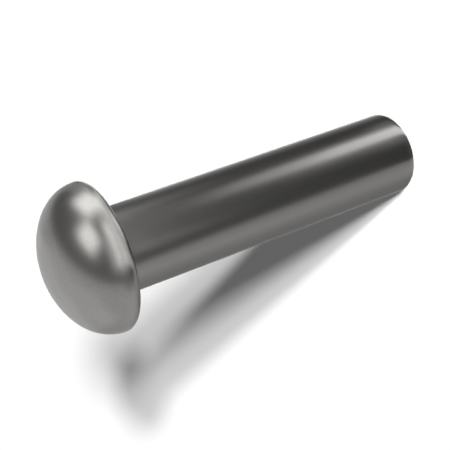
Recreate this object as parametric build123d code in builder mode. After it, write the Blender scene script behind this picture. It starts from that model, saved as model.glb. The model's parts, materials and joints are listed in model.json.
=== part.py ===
"""A solid round-head rivet, cold headed in one piece from a length of round bar.

Millimetres. +Z runs along the shank towards the crown of the head, and the origin is the
centre of the head's bearing face, so the shank hangs below it down to the tail end.
"""

import os
from math import sqrt

from build123d import *

# Driving dimensions, for a quarter-inch by one-inch rivet
shank_diameter = 6.35
shank_length = 25.4  # from the bearing face to the tail end
head_diameter = 11.11
head_height = 4.6  # from the bearing face to the crown
rim_radius = 0.65  # round between the bearing face and the widest part of the head
neck_radius = 0.3  # fillet between the shank and the bearing face
tail_radius = 0.75  # round that tumbling leaves on the sheared edge of the tail

shank_radius = shank_diameter / 2
head_radius = head_diameter / 2

# The middle weight that makes a three-point curve an exact quarter of an ellipse
quarter_ellipse_weight = sqrt(1 / 2)

with BuildPart() as rivet:
    # The head is half of its section turned about the axis: a flat bearing face, the
    # rounded rim, and a crown whose line is a quarter of an ellipse, flattest on the axis
    with BuildSketch(Plane.XZ):
        with BuildLine():
            bearing_line = Line((0, 0), (head_radius - rim_radius, 0))
            rim_line = CenterArc(
                center=(head_radius - rim_radius, rim_radius),
                radius=rim_radius,
                start_angle=-90,
                arc_size=90,
            )
            crown_line = Bezier(
                rim_line @ 1,
                (head_radius, head_height),
                (0, head_height),
                weights=[1, quarter_ellipse_weight, 1],
            )
            Line(crown_line @ 1, bearing_line @ 0)
        make_face()
    revolve(axis=Axis.Z)

    # The shank is the bar itself, left at its own diameter under the head
    with BuildSketch(Plane.XY):
        Circle(shank_radius)
    extrude(amount=-shank_length)

    # The sheared edge of the tail, and the inside corner where the shank meets the head
    tail_edge = rivet.edges().group_by(Axis.Z)[0]
    fillet(tail_edge, tail_radius)
    bearing_edges = rivet.edges().filter_by(GeomType.CIRCLE).filter_by_position(Axis.Z, 0, 0)
    neck_edge = bearing_edges.sort_by(SortBy.RADIUS)[0]
    fillet(neck_edge, neck_radius)

rivet.part.label = "rivet"
os.makedirs("parts", exist_ok=True)
export_step(rivet.part, "parts/rivet.step")
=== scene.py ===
"""The finish of a solid round-head rivet, with its floor, its studio lights and its camera."""

import json
from math import cos, pi, radians, sin, tan

import bmesh
import bpy
from mathutils import Matrix, Vector


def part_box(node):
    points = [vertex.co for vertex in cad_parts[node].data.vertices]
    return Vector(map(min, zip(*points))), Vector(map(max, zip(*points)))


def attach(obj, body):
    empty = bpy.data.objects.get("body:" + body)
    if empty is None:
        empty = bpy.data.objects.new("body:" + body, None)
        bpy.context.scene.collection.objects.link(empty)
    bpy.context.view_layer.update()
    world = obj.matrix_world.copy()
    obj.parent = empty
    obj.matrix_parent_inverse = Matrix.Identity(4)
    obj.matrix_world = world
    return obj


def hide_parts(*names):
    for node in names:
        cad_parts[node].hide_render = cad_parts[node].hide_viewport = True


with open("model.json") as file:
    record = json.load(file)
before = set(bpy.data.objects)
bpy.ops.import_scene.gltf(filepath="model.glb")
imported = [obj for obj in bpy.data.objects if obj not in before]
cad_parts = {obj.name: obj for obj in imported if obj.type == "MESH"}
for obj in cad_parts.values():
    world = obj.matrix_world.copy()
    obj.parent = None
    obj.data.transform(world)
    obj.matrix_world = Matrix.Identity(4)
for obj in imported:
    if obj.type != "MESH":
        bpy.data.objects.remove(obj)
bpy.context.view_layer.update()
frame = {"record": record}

# The rivet's form
# One length of quarter-inch steel bar with a head upset on it cold between two dies. It is
# a body of revolution, so its outline is drawn once and spun round its axis.
mm = 0.001
low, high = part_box("rivet")
shank = next(mount for mount in frame["record"]["mounts"] if mount["name"] == "shank")
shank_radius = shank["dims"]["r_mm"] * mm
neck_radius = -shank["pos_m"][2]
wall_end = shank["pos_m"][2] - shank["dims"]["length_mm"] * mm
tail_end = low.z
tail_radius = wall_end - tail_end
head_radius = (high.x - low.x) / 2
crown = high.z
rim_radius = 0.65 * mm


def run_to(outline, vert, x, z, steps):
    """Draws a straight run from the outline's last vertex and returns the new last one."""
    stride = (Vector((x, 0, z)) - vert.co) / steps
    for _ in range(steps):
        vert = bmesh.ops.extrude_vert_indiv(outline, verts=[vert])["verts"][0]
        bmesh.ops.translate(outline, verts=[vert], vec=stride)
    return vert


def turn_about(outline, vert, x, z, angle, steps):
    """Draws an arc from the outline's last vertex round (x, z) and returns the new last one."""
    swept = bmesh.ops.spin(
        outline,
        geom=[vert],
        cent=(x, 0, z),
        axis=(0, -1, 0),
        angle=angle,
        steps=steps,
        use_merge=False,
    )
    return swept["geom_last"][0]


hold = 0.04 * mm  # a ring this close to each end of a flat keeps its shading flat
quarter = pi / 2

body = bmesh.new()
last = body.verts.new((0, 0, tail_end))
tail_flat = shank_radius - tail_radius
last = run_to(body, last, tail_flat - hold, tail_end, 3)
last = run_to(body, last, tail_flat, tail_end, 1)
last = turn_about(body, last, tail_flat, wall_end, quarter, 12)
last = run_to(body, last, shank_radius, wall_end + hold, 1)
last = run_to(body, last, shank_radius, -neck_radius - hold, 24)
last = run_to(body, last, shank_radius, -neck_radius, 1)
neck_outside = shank_radius + neck_radius
last = turn_about(body, last, neck_outside, -neck_radius, -quarter, 8)
last = run_to(body, last, neck_outside + hold, 0, 1)
rim_inside = head_radius - rim_radius
last = run_to(body, last, rim_inside - hold, 0, 3)
last = run_to(body, last, rim_inside, 0, 1)
last = turn_about(body, last, rim_inside, rim_radius, quarter, 12)

# The crown's line is a quarter circle pressed to the head's height
below_crown = set(body.verts)
turn_about(body, last, 0, rim_radius, quarter, 48)
crown_line = [vert for vert in body.verts if vert not in below_crown]
press = (crown - rim_radius) / head_radius
bmesh.ops.scale(
    body,
    verts=crown_line,
    vec=(1, 1, press),
    space=Matrix.Translation((0, 0, -rim_radius)),
)

bmesh.ops.spin(
    body,
    geom=body.verts[:] + body.edges[:],
    cent=(0, 0, 0),
    axis=(0, 0, 1),
    angle=2 * pi,
    steps=192,
    use_merge=True,
)
bmesh.ops.remove_doubles(body, verts=body.verts, dist=0.0005 * mm)
bmesh.ops.recalc_face_normals(body, faces=body.faces)
for face in body.faces:
    face.smooth = True

rivet_mesh = bpy.data.meshes.new("round_head_rivet")
body.to_mesh(rivet_mesh)
body.free()
rivet = bpy.data.objects.new("round_head_rivet", rivet_mesh)
bpy.context.collection.objects.link(rivet)
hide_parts("rivet")
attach(rivet, "root")

# The rivet's finish
# Bare steel, dulled to a dark satin. Drawing the bar leaves faint lines along the shank,
# and the head, pressed smooth between the dies, has a fine close mottle instead.
steel = bpy.data.materials.new("dark_satin_steel")
steel.use_nodes = True
nodes, links = steel.node_tree.nodes, steel.node_tree.links
shader = nodes["Principled BSDF"]
shader.inputs["Metallic"].default_value = 1.0
shader.inputs["Specular Tint"].default_value = (0.6, 0.6, 0.6, 1)

place = nodes.new("ShaderNodeTexCoord")
along = nodes.new("ShaderNodeMapping")
along.inputs["Scale"].default_value = (1, 1, 0.012)
links.new(place.outputs["Object"], along.inputs["Vector"])
drawn_lines = nodes.new("ShaderNodeTexNoise")
drawn_lines.inputs["Scale"].default_value = 5500
drawn_lines.inputs["Detail"].default_value = 4
drawn_lines.inputs["Roughness"].default_value = 0.6
links.new(along.outputs["Vector"], drawn_lines.inputs["Vector"])
mottle = nodes.new("ShaderNodeTexNoise")
mottle.inputs["Scale"].default_value = 4200
mottle.inputs["Detail"].default_value = 4
links.new(place.outputs["Object"], mottle.inputs["Vector"])

height = nodes.new("ShaderNodeSeparateXYZ")
links.new(place.outputs["Object"], height.inputs["Vector"])
on_head = nodes.new("ShaderNodeMapRange")
on_head.inputs["From Min"].default_value = -0.5 * mm
on_head.inputs["From Max"].default_value = 0.3 * mm
links.new(height.outputs["Z"], on_head.inputs["Value"])
grain = nodes.new("ShaderNodeMix")
links.new(on_head.outputs["Result"], grain.inputs["Factor"])
links.new(drawn_lines.outputs["Fac"], grain.inputs["A"])
links.new(mottle.outputs["Fac"], grain.inputs["B"])

grain_low, grain_high = 0.3, 0.7  # nearly all of the grain's values lie between these
darker_steel = (0.2275, 0.2236, 0.2158, 1)
lighter_steel = (0.2415, 0.2374, 0.2292, 1)
tone = nodes.new("ShaderNodeValToRGB")
tone.color_ramp.elements[0].position = grain_low
tone.color_ramp.elements[0].color = darker_steel
tone.color_ramp.elements[1].position = grain_high
tone.color_ramp.elements[1].color = lighter_steel
links.new(grain.outputs["Result"], tone.inputs["Fac"])
links.new(tone.outputs["Color"], shader.inputs["Base Color"])

gloss = nodes.new("ShaderNodeMapRange")
gloss.inputs["From Min"].default_value = grain_low
gloss.inputs["From Max"].default_value = grain_high
gloss.inputs["To Min"].default_value = 0.31
gloss.inputs["To Max"].default_value = 0.28
links.new(grain.outputs["Result"], gloss.inputs["Value"])
links.new(gloss.outputs["Result"], shader.inputs["Roughness"])

relief = nodes.new("ShaderNodeBump")
relief.inputs["Strength"].default_value = 0.12
relief.inputs["Distance"].default_value = 0.004 * mm
links.new(grain.outputs["Result"], relief.inputs["Height"])
links.new(relief.outputs["Normal"], shader.inputs["Normal"])
rivet_mesh.materials.append(steel)

# The floor
# A plain white sweep under the tail. It keeps the rivet's shadow, and is as white as the
# world behind it.
floor_size = 8.0
sheet = bmesh.new()
bmesh.ops.create_grid(sheet, x_segments=1, y_segments=1, size=floor_size / 2)
bmesh.ops.translate(sheet, verts=sheet.verts, vec=(0, 0, tail_end))
floor_mesh = bpy.data.meshes.new("floor")
sheet.to_mesh(floor_mesh)
sheet.free()
floor = bpy.data.objects.new("floor", floor_mesh)
bpy.context.collection.objects.link(floor)

paper = bpy.data.materials.new("white_paper")
paper.use_nodes = True
paper_shader = paper.node_tree.nodes["Principled BSDF"]
paper_shader.inputs["Base Color"].default_value = (0.95, 0.95, 0.95, 1)
paper_shader.inputs["Roughness"].default_value = 1.0
paper_shader.inputs["Specular IOR Level"].default_value = 0.0
floor_mesh.materials.append(paper)


# The lamps
# Two soft lamps side by side, low on the camera's side. They light the floor and draw the
# rivet's shadow. The metal doesn't mirror them: it shows the cards and softboxes below.
def aim(azimuth, elevation):
    """The direction from the rivet to a lamp. Azimuth 0 is on the camera's side, 90 on +X."""
    a, e = radians(azimuth), radians(elevation)
    return Vector((sin(a) * cos(e), -cos(a) * cos(e), sin(e)))


def far_lamp(name, azimuth, elevation, width, level):
    """A distant lamp, as wide in the sky as width degrees, that lights the floor to a level."""
    lamp = bpy.data.lights.new(name, "SUN")
    lamp.angle = radians(width)
    lamp.energy = level * pi / sin(radians(elevation))
    lamp_object = bpy.data.objects.new(name, lamp)
    bpy.context.collection.objects.link(lamp_object)
    lamp_object.rotation_mode = "QUATERNION"
    lamp_object.rotation_quaternion = aim(azimuth, elevation).to_track_quat("Z", "Y")
    lamp_object.visible_glossy = False


far_lamp("near_lamp", azimuth=9.5, elevation=17, width=5, level=0.5)
far_lamp("side_lamp", azimuth=14, elevation=18, width=3, level=0.46)


# The cards and softboxes
# What a studio stands round bright metal for it to mirror. They are seen in the metal and
# nowhere else, and light nothing else. A softbox's light fades towards its edges.
def fade(place, margin):
    """The share of a softbox's light left at a place from -1 to 1 across it."""
    share = min(1, (1 - abs(place)) / margin) if margin else 1
    return share * share * (3 - 2 * share)


def card_at(spot, margins):
    """A card whose places (u, v), each from -1 to 1, lie at spot(u, v). Its light fades over
    its margins, two shares of its half width and half length; with none it stays even."""
    card = bmesh.new()
    bmesh.ops.create_grid(card, x_segments=24, y_segments=24, size=1)
    lit = card.verts.layers.float.new("lit")
    for vert in card.verts:
        u, v = vert.co.xy
        vert[lit] = fade(u, margins[0]) * fade(v, margins[1])
        vert.co = spot(u, v)
    return card


def stand(name, card, glow, soft=False):
    """Stands a card in the studio; a glow of 1 is white. A soft card fades by its lit values,
    and adds its light to what is behind it."""
    card_mesh = bpy.data.meshes.new(name)
    card.to_mesh(card_mesh)
    card.free()
    card_object = bpy.data.objects.new(name, card_mesh)
    bpy.context.collection.objects.link(card_object)
    card_object.visible_camera = False
    card_object.visible_diffuse = False
    card_object.visible_transmission = False
    card_object.visible_shadow = False
    cloth = bpy.data.materials.new(name)
    cloth.use_nodes = True
    nodes, links = cloth.node_tree.nodes, cloth.node_tree.links
    nodes.remove(nodes["Principled BSDF"])
    light = nodes.new("ShaderNodeEmission")
    light.inputs["Strength"].default_value = glow
    surface = light
    if soft:
        lit = nodes.new("ShaderNodeAttribute")
        lit.attribute_name = "lit"
        links.new(lit.outputs["Fac"], light.inputs["Color"])
        clear = nodes.new("ShaderNodeBsdfTransparent")
        surface = nodes.new("ShaderNodeAddShader")
        links.new(light.outputs["Emission"], surface.inputs[0])
        links.new(clear.outputs["BSDF"], surface.inputs[1])
    links.new(surface.outputs[0], nodes["Material Output"].inputs["Surface"])
    card_mesh.materials.append(cloth)


def between(ends, place):
    """The value at a place from -1 to 1 between two ends."""
    return (ends[0] * (1 - place) + ends[1] * (1 + place)) / 2


def lay_card(name, azimuths, reach, lift, glow, margins=(0, 0), swing=0):
    """Lays a card on the floor where the shank mirrors it, between two azimuths of the mirrored
    ray and from reach[0] to reach[1] away from the shank's wall. Its far end swings further
    round than its near end by swing degrees."""

    def spot(u, v):
        ray = radians(between(azimuths, u) + between((0, swing), v))
        foot = shank_radius * Vector((sin(ray / 2), -cos(ray / 2), 0))
        away = between(reach, v) * Vector((sin(ray), -cos(ray), 0))
        return foot + away + Vector((0, 0, tail_end + lift))

    stand(name, card_at(spot, margins), glow, any(margins))


def bend_card(name, azimuths, radii, heights, glow, margins=(0, 0)):
    """Bends a card round the rivet's axis, from one radius and height to another."""

    def spot(u, v):
        around = radians(between(azimuths, u))
        out = between(radii, v) * Vector((sin(around), -cos(around), 0))
        return out + Vector((0, 0, between(heights, v)))

    stand(name, card_at(spot, margins), glow, any(margins))


def hang_box(name, azimuth, elevation, distance, width, height, glow, margins=(0, 0)):
    """Hangs a flat softbox that faces the rivet's head; its sides are given in degrees."""
    out = aim(azimuth, elevation)
    turn = out.to_track_quat("Z", "Y").to_matrix()
    across = distance * tan(radians(width / 2))
    along = distance * tan(radians(height / 2))

    def spot(u, v):
        return distance * out + turn @ Vector((u * across, v * along, 0))

    stand(name, card_at(spot, margins), glow, any(margins))


# Cards on the floor, which the shank mirrors. Each lies a little above the one it covers.
whole = (-0.5 * mm, 85 * mm)
lay_card("dark_card", (-60, 130), whole, lift=0.01 * mm, glow=0.11)
lay_card("grey_card", (-156, -40), whole, lift=0.02 * mm, glow=0.6, swing=-14)
lay_card("grey_card_behind", (121, 180), whole, lift=0.02 * mm, glow=0.45, swing=8)
lay_card("grey_light", (-108, -34), whole, lift=0.03 * mm, glow=0.28, margins=(1, 0), swing=-6)
lay_card("behind_light", (136, 186), (-0.5 * mm, 60 * mm), lift=0.03 * mm, glow=1.16, margins=(0.8, 0))
lay_card("foot_light", (0, 84), (-3 * mm, 7 * mm), lift=0.04 * mm, glow=0.12, margins=(0.5, 1))
lay_card("foot_ring", (-130, 40), (-3 * mm, 1 * mm), lift=0.045 * mm, glow=0.1, margins=(0.3, 0.4))
lay_card("strip_edge", (4, 90), (-5 * mm, 24 * mm), lift=0.05 * mm, glow=0.4, margins=(1, 0.4))
lay_card("strip_foot", (52, 112), (-4 * mm, 6 * mm), lift=0.055 * mm, glow=0.28, margins=(1, 0.6))
lay_card("strip_light", (32, 76), (-5 * mm, 15 * mm), lift=0.06 * mm, glow=1.93, margins=(0.7, 0.4))
lay_card("strip_end", (32, 76), (9 * mm, 38 * mm), lift=0.07 * mm, glow=1.02, margins=(0.7, 0.5))
lay_card("far_strip", (-30, 6), (40 * mm, 86 * mm), lift=0.04 * mm, glow=0.38, margins=(1, 0.6))
lay_card("far_side_strip", (76, 118), (36 * mm, 86 * mm), lift=0.04 * mm, glow=0.17, margins=(1, 0.6))

# Cards round the rivet, which the rim and the crown's foot mirror
wall = (92 * mm, 92 * mm)
bend_card("long_box", (-31, 49), wall, (-19 * mm, 25 * mm), glow=2.6, margins=(0.35, 0.9))
bend_card("long_box_side", (12, 80), wall, (-19 * mm, 14 * mm), glow=0.7, margins=(0.6, 0.9))
bend_card("long_box_top", (-36, 32), wall, (13 * mm, 46 * mm), glow=0.8, margins=(0.5, 0.9))
bend_card("dark_wall", (108, 143), wall, (tail_end, 0), glow=0.7)
bend_card("dark_wall_left", (-56, -26), wall, (tail_end, -2 * mm), glow=0.3)

# Cards just under the head, which only its rim mirrors, on three levels a hair apart
upper = (-0.9 * mm, -0.9 * mm)
middle = (-0.93 * mm, -0.93 * mm)
lower = (-0.96 * mm, -0.96 * mm)
bend_card("ring_inner", (-20, 70), (5.45 * mm, 10.3 * mm), upper, glow=1.3, margins=(0.12, 0.3))
bend_card("ring_outer", (-20, 70), (9.3 * mm, 13 * mm), middle, glow=1.7, margins=(0.12, 0.5))
bend_card("ring_left", (-130, -48), (5.7 * mm, 11.5 * mm), middle, glow=0.3, margins=(0.5, 0.2))
bend_card("ring_side", (44, 104), (5.3 * mm, 12 * mm), lower, glow=0.5, margins=(0.35, 0.15))
bend_card("ring_gap", (-66, -28), (7.6 * mm, 12.5 * mm), lower, glow=0.17, margins=(1, 0.4))

# Softboxes in the air, which the crown mirrors
far_off = 150 * mm
close_by = 88 * mm
hang_box("upper_box", 41, 46, far_off, width=52, height=48, glow=3.14, margins=(0.65, 0.65))
hang_box("side_box", 83, 5.5, close_by, width=56, height=50, glow=3.2, margins=(0.72, 0.65))
hang_box("middle_box", 70, 19, far_off, width=51, height=50, glow=0.8, margins=(1, 1))
hang_box("back_box", -172, 21, far_off, width=46, height=40, glow=1.58)
hang_box("back_side_box", 158, 8, far_off, width=28, height=34, glow=0.41, margins=(0.5, 0.5))
hang_box("left_box", -125, 25, far_off, width=44, height=29, glow=1.25)
hang_box("top_box", -147, 55, far_off, width=70, height=29, glow=1.21)

# A grey curtain behind them all, which keeps the white surround out of that side of the metal
curtain_radius = 300 * mm
curtain_aim = aim(47.4, -1)
curtain_edge = radians(95.4)
curtain = bmesh.new()
bmesh.ops.create_uvsphere(curtain, u_segments=64, v_segments=32, radius=curtain_radius)
bmesh.ops.bisect_plane(
    curtain,
    geom=curtain.verts[:] + curtain.edges[:] + curtain.faces[:],
    plane_co=curtain_aim * curtain_radius * cos(curtain_edge),
    plane_no=curtain_aim,
    clear_inner=True,
)
stand("curtain", curtain, glow=0.25)

# The world
# An even white surround, dimmed where it would only fill the shadow on the floor.
world = bpy.data.worlds.new("studio")
bpy.context.scene.world = world
world.use_nodes = True
nodes, links = world.node_tree.nodes, world.node_tree.links
background = nodes["Background"]
background.inputs["Color"].default_value = (1, 1, 1, 1)
path = nodes.new("ShaderNodeLightPath")
seen = nodes.new("ShaderNodeMath")
seen.operation = "MAXIMUM"
links.new(path.outputs["Is Camera Ray"], seen.inputs[0])
links.new(path.outputs["Is Glossy Ray"], seen.inputs[1])
through = nodes.new("ShaderNodeMath")
through.operation = "MAXIMUM"
links.new(seen.outputs[0], through.inputs[0])
links.new(path.outputs["Is Transmission Ray"], through.inputs[1])
level = nodes.new("ShaderNodeMapRange")
level.inputs["To Min"].default_value = 0.13
level.inputs["To Max"].default_value = 1.0
links.new(through.outputs[0], level.inputs["Value"])
links.new(level.outputs["Result"], background.inputs["Strength"])

# The camera
# Close to the rivet, looking 25 degrees down, and rolled so that the standing rivet lies
# across the picture as it does in the photograph.
camera_data = bpy.data.cameras.new("camera")
camera_data.sensor_width = 36
camera_data.lens = 94.165
camera_data.clip_start = 5 * mm
camera = bpy.data.objects.new("camera", camera_data)
bpy.context.collection.objects.link(camera)
right = Vector((-0.33913, -0.40158, -0.85072))
up = Vector((0.94068, -0.13453, -0.31149))
turned = Matrix((right, up, right.cross(up))).transposed().to_4x4()
standpoint = Matrix.Translation((0, -78.544 * mm, 27.268 * mm))
camera.matrix_world = standpoint @ turned
bpy.context.scene.camera = camera
bpy.context.scene.view_settings.view_transform = "Standard"
